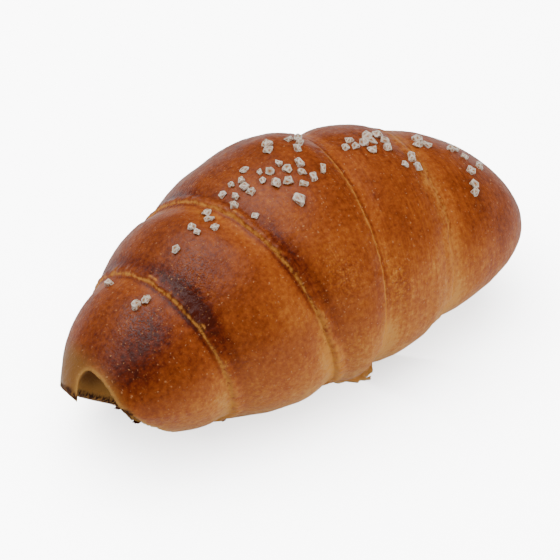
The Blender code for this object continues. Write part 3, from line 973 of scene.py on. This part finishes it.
def crustColour(tree, where, effects):
    # returns the colour and how bare of glaze the crust is
    look = crustLook
    everywhere, added = look["pulled"]
    pulled = addTimes(tree, effects["stretch"], added, everywhere)
    lines = calc(tree, "ADD", centred(tree, effects["streaks"]), centred(tree, effects["threads"]))
    streaked = addTimes(tree, lines, pulled, mask(tree, "bakeAndShade"))
    everywhere, added = look["wrinkled"]
    wrinkled = addTimes(tree, effects["glaze"], added, everywhere)
    streaked = addTimes(tree, centred(tree, effects["fine"]), wrinkled, streaked)
    patchiness, patchSize = look["patches"]
    mottle, mottleSize = look["mottle"]
    colour = useGroup(tree, browningGroup, {
        "Bake": streaked, "Patchiness": patchiness, "Patch Size": patchSize,
        "Mottle": mottle, "Mottle Size": mottleSize, "Vector": where,
    })
    torn = clouds(tree, where, look["torn"], 3.0)
    strands = remap(tree, effects["threads"], 0.36, 0.56, 0.25, 1.0)
    strands = blend(tree, effects["stretch"], (1.0, 1.0, 1.0, 1.0), strands)
    seam = times(tree, mask(tree, "seam"), remap(tree, torn, 0.3, 0.46))
    seam = times(tree, seam, strands)
    wall, sole = mask(tree, "wall"), mask(tree, "sole")
    # the wall darkens with painted shade deep in the hollow
    wallColourAndShade = blend(tree, mask(tree, "wallDepthShade"), look["wallPale"], look["wallShadeDark"])
    for share, layer in (
        (times(tree, mask(tree, "tan"), look["tan"]), look["tanColour"]),
        (times(tree, effects["specks"], look["specks"][0]), look["speckColour"]),
        (times(tree, effects["blisters"], look["blisters"][0]), look["blisterColour"]),
        # painted shadow round the salt grains
        (times(tree, mask(tree, "grainShadow"), look["grainShadow"]), look["grainShadowColour"]),
        (seam, look["seamColour"]),
        (wall, wallColourAndShade),
        (times(tree, sole, remap(tree, torn, 0.38, 0.56, 0.35, 1.0)), look["soleColour"]),
    ):
        colour = blend(tree, share, colour, layer)
    return colour, calc(tree, "MAXIMUM", calc(tree, "MAXIMUM", seam, wall), sole)


def crustMaterial():
    made, tree, shader = newMaterial("bakedCrust")
    look = crustLook
    where = addNode(tree, "TexCoord").outputs["Object"]
    dough = addNode(tree, "Attribute", attribute_name="dough").outputs["Vector"]
    width, length = look["threadShape"]
    effects = {
        "streaks": useGroup(tree, streakGroup, {"Dough": dough}),
        "threads": useGroup(tree, streakGroup, {"Dough": dough, "Width": width, "Length": length}),
        "fine": useGroup(tree, crinkleGroup, {"Vector": where, "Scale": look["fine"][1]}),
        "stretch": mask(tree, "stretch"),
        "glaze": mask(tree, "glaze"),
    }
    for name, share in (("blisters", "blisterShare"), ("specks", "speckShare")):
        effects[name] = useGroup(tree, blisterGroup, {
            "Vector": where, "Scale": look[name][1], "Amount": look[share],
        })
    coarse = useGroup(tree, crinkleGroup, {
        "Vector": where, "Scale": look["coarse"][1], "Sharpness": 0.3,
    })
    colour, bare = crustColour(tree, where, effects)

    fine, glaze = effects["fine"], effects["glaze"]
    spread = times(tree, centred(tree, coarse), look["roughnessSpread"] * 2.0)
    rough = addTimes(tree, bare, look["bareRoughness"], look["roughness"])
    rough = addTimes(tree, glaze, look["glazeRoughness"], calc(tree, "ADD", rough, spread))
    coat = remap(tree, fine, *look["coatFrom"], 0.0, look["coat"])
    coat = times(tree, coat, addTimes(tree, glaze, look["glazeCoat"], 1.0))
    coat = times(tree, calc(tree, "SUBTRACT", 1.0, bare), coat)
    height = times(tree, coarse, look["coarse"][0])
    height = addTimes(tree, fine, look["fine"][0], height)
    height = times(tree, height, addTimes(tree, glaze, look["glazeWrinkles"], 1.0))
    height = addTimes(tree, effects["streaks"], look["streakBump"], height)
    height = addTimes(tree, effects["blisters"], look["blisterBump"], height)
    feed(tree, shader, {
        "Base Color": colour, "Roughness": rough,
        "Coat Weight": coat, "Coat Roughness": look["coatRoughness"],
        "Specular IOR Level": look["specular"],
        "Normal": bumped(tree, height, look["bump"], look["bumpHeight"]),
        "Subsurface Weight": 0.06, "Subsurface Radius": (0.004, 0.0015, 0.0006), "Subsurface Scale": 0.5,
    })
    return made


saltLook = {
    "colour": (1.0, 0.86, 0.66, 1.0),
    "milky": (1.0, 0.97, 0.86, 1.0),
    # the crust's colour, painted in the middle of broad faces as the crust seen through the crystal
    "clear": (0.52, 0.22, 0.075, 1.0),
    "roughness": (0.12, 0.37),
    "transmission": 0.4,
    "ior": 1.5,
}


def saltMaterial():
    made, tree, shader = newMaterial("rockSalt")
    where = addNode(tree, "TexCoord").outputs["Object"]
    milky = clouds(tree, where, 900.0, 2.0)
    frost = useGroup(tree, crinkleGroup, {"Vector": where, "Scale": 2600.0, "Sharpness": 0.6})
    colour = blend(tree, remap(tree, milky, 0.38, 0.62), saltLook["colour"], saltLook["milky"])
    # painted see-through: the crust's colour in the middle of broad faces
    colour = blend(tree, remap(tree, mask(tree, "clear"), 0.1, 0.8), colour, saltLook["clear"])
    rough = remap(tree, milky, 0.3, 0.7, *saltLook["roughness"])
    feed(tree, shader, {
        "Base Color": colour, "Roughness": rough, "Transmission Weight": saltLook["transmission"],
        "IOR": saltLook["ior"], "Normal": bumped(tree, frost, 0.14, 0.08 * mm),
    })
    return made


skirtLook = {
    "browning": {"Bake": 0.05, "Patchiness": 0.16, "Patch Size": 420.0, "Mottle": 0.12, "Mottle Size": 1500.0},
    "pale": (0.66, 0.38, 0.125, 1.0),
    "paleShare": 0.65,
    "crinkle": 1800.0,
    "bump": 0.4,
    "roughness": 0.42,
    "subsurface": 0.2,
}
crumbLook = {
    "browning": {"Bake": 0.88, "Patchiness": 0.18, "Patch Size": 300.0, "Mottle": 0.1, "Mottle Size": 1500.0},
    "crinkle": 1500.0,
    "bump": 0.6,
    "roughness": 0.6,
}


def browned(name, look):
    # a material with the browning and the crinkle alone
    made, tree, shader = newMaterial(name)
    where = addNode(tree, "TexCoord").outputs["Object"]
    baked = useGroup(tree, browningGroup, {**look["browning"], "Vector": where})
    height = useGroup(tree, crinkleGroup, {"Vector": where, "Scale": look["crinkle"]})
    feed(tree, shader, {
        "Base Color": baked, "Roughness": look["roughness"],
        "Normal": bumped(tree, height, look["bump"], 0.1 * mm),
    })
    return made, tree, shader, baked


def skirtMaterial():
    made, tree, shader, baked = browned("crispButter", skirtLook)
    feed(tree, shader, {
        "Base Color": blend(tree, skirtLook["paleShare"], baked, skirtLook["pale"]),
        "Subsurface Weight": skirtLook["subsurface"], "Subsurface Radius": (0.002, 0.001, 0.0004),
        "Subsurface Scale": 0.5,
    })
    return made


# build the pieces
shift = np.array(roll["shift"])


def finishPiece(piece, material):
    piece.data.materials.append(material)
    piece.data.shade_smooth()
    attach(piece, "root")
    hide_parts("salt_bread")


def makeCrust(places):
    x, angle, wraps, shares = crustGrid()
    points, masks = fineCrust(x, angle, wraps, shares)
    past = np.array([0.05 * mm, 0.0, 0.0])
    tips = [points[0].mean(0) - past, points[-1].mean(0) + past]
    mesh = gridMesh("crust", points, tips)
    outFaces(mesh)
    crust = newPiece("bread_crust", mesh)
    print("crust built:", len(mesh.vertices), "vertices")
    wall, toRim = carveHollow(crust)
    print("hollow carved")

    # carries the masks over to the carved mesh from the nearest vertex of the whole one
    tree = treeOf(points.reshape(-1, 3).tolist())
    carved = np.empty(len(crust.data.vertices) * 3, np.float32)
    crust.data.vertices.foreach_get("co", carved)
    carved = carved.reshape(-1, 3)
    nearest = np.array([tree.find(p)[1] for p in carved.tolist()])
    kept = {name: masks[name].reshape(-1)[nearest] for name in ("bakeAndShade", "seam", "stretch", "glaze", "tan")}
    kept["bakeAndShade"] += bakingAndShade["rim"] * bell(toRim, 0.0, bakingAndShade["rimReach"])
    kept["dough"] = masks["dough"].reshape(-1, 3)[nearest]
    kept["grainShadow"] = grainShadowMask(carved, places)
    for name, values in {**kept, **hollowMasks(carved, wall, toRim)}.items():
        setMask(crust.data, name, values)
    crust.data.transform(Matrix.Translation(shift))
    finishPiece(crust, crustMaterial())
    return crust


def hollowMasks(carved, wall, toRim):
    paleReach, pale = hollow["rimPale"]
    softReach, soft = hollow["rimSoft"]
    inside = np.where(wall > 0.5, 1.0 - soft * bell(toRim, 0.0, softReach), 0.0)
    # painted shade: darker higher up in the hollow and further from the rim
    depthShade = smooth(*hollow["shadeHeight"], carved[:, 2]) * smooth(*hollow["shadePast"], toRim)
    sole = soleHeight(carved[:, 0], carved[:, 1])
    overSole = carved[:, 2] - sole - 0.5 * np.minimum(roll["soleSoft"], sole)
    return {
        "wall": np.maximum(inside, pale * bell(toRim, 0.0, paleReach)),
        "wallDepthShade": depthShade,
        "sole": 1.0 - smooth(*roll["burntSole"], overSole),
    }


# painted shadow on the crust, full under each salt grain and fading out round it
def grainShadowMask(carved, places):
    grains = treeOf([place[0] for place in places])
    grainShadow = np.zeros(len(carved))
    for i, p in enumerate(carved.tolist()):
        _, which, distance = grains.find(p)
        grainShadow[i] = distance - places[which][3] * salt["grainShadowStart"]
    return bell(np.maximum(grainShadow, 0.0), 0.0, salt["grainShadow"])


places = saltPlaces()
print("salt placed:", len(places), "grains")
crust = makeCrust(places)

grains = newPiece("salt_grains", saltGrains(places))
grains.data.transform(Matrix.Translation(shift))
finishPiece(grains, saltMaterial())
grains.data.set_sharp_from_angle(angle=math.radians(salt["sharpAngle"]))

skirtPiece = newPiece("butter_skirt", skirtMesh())
solid = skirtPiece.modifiers.new("solid", "SOLIDIFY")
solid.thickness = skirt["thickness"]
solid.offset = 1.0
skirtPiece.data.transform(Matrix.Translation(shift))
finishPiece(skirtPiece, skirtMaterial())

crumbPiece = newPiece("burnt_crumbs", crumbMesh(crust))
finishPiece(crumbPiece, browned("burntCrumb", crumbLook)[0])
print("pieces built")


# floor, light and camera
studio = {
    "floorSize": 6.0,
    "floorColour": (0.9, 0.9, 0.9, 1.0),
    "floorBounce": (0.11, 0.11, 0.11, 1.0),  # how much of it the roll sees
    "world": (1.0, 1.0, 1.0, 1.0),
    "worldStrength": 0.12,
}
lights = [
    # overhead softbox, a little behind and to the left
    {"name": "topLight", "place": (-0.25, 0.35, 1.0), "size": 1.0, "power": 15.5},
    # fill from the front right, which gives no reflections
    {"name": "frontLight", "place": (0.55, -0.95, 0.62), "size": 1.0, "power": 13.0, "matt": True},
    # these two brighten the backdrop alone, and the second throws no shadow
    {"name": "floorLight", "place": (-0.25, 0.45, 1.4), "size": 3.0, "power": 230.0, "floorOnly": True},
    {"name": "floorFill", "place": (0.0, 0.0, 1.6), "size": 3.5, "power": 320.0, "floorOnly": True,
     "shadowless": True},
]
view = {
    "azimuth": -0.633942,
    "elevation": 0.698312,
    "distance": 0.45,
    "target": (0.0, 0.0, 0.025),
    "lens": 120.33,
    "shift": (-0.0098, -0.03796),
}


def addFloor():
    bm = bmesh.new()
    bmesh.ops.create_grid(bm, x_segments=1, y_segments=1, size=studio["floorSize"] / 2.0)
    floor = newPiece("floor", meshOf(bm, "floor"))
    made, tree, shader = newMaterial("paleFloor")
    seen = addNode(tree, "LightPath").outputs["Is Camera Ray"]
    colour = blend(tree, seen, studio["floorBounce"], studio["floorColour"])
    feed(tree, shader, {"Base Color": colour, "Roughness": 0.9, "Specular IOR Level": 0.1})
    floor.data.materials.append(made)
    return floor


def addLights(floor):
    world = bpy.data.worlds.new("studio")
    world.use_nodes = True
    sky = world.node_tree.nodes["Background"]
    feed(world.node_tree, sky, {0: studio["world"], 1: studio["worldStrength"]})
    bpy.context.scene.world = world
    lit = bpy.data.collections.new("litFloor")
    lit.objects.link(floor)
    for light in lights:
        lamp = bpy.data.lights.new(light["name"], "AREA")
        lamp.energy = light["power"]
        lamp.size = light["size"]
        holder = newPiece(light["name"], lamp)
        holder.location = light["place"]
        toRoll = Vector(view["target"]) - Vector(light["place"])
        holder.rotation_euler = toRoll.to_track_quat("-Z", "Y").to_euler()
        holder.visible_glossy = not light.get("matt", False)
        if light.get("floorOnly"):
            holder.light_linking.receiver_collection = lit
        if light.get("shadowless"):
            holder.light_linking.blocker_collection = lit


def addCamera():
    camera = newPiece("camera", bpy.data.cameras.new("camera"))
    azimuth, elevation = view["azimuth"], view["elevation"]
    level = math.cos(elevation)
    back = Vector((math.sin(azimuth) * level, -math.cos(azimuth) * level, math.sin(elevation)))
    camera.location = Vector(view["target"]) + Vector(roll["shift"]) + back * view["distance"]
    camera.rotation_euler = back.to_track_quat("Z", "Y").to_euler()
    camera.data.lens = view["lens"]
    camera.data.sensor_width = 36.0
    camera.data.shift_x, camera.data.shift_y = view["shift"]
    camera.data.dof.use_dof = False
    bpy.context.scene.camera = camera


addLights(addFloor())
addCamera()
print("studio ready")

bpy.context.view_layer.update()
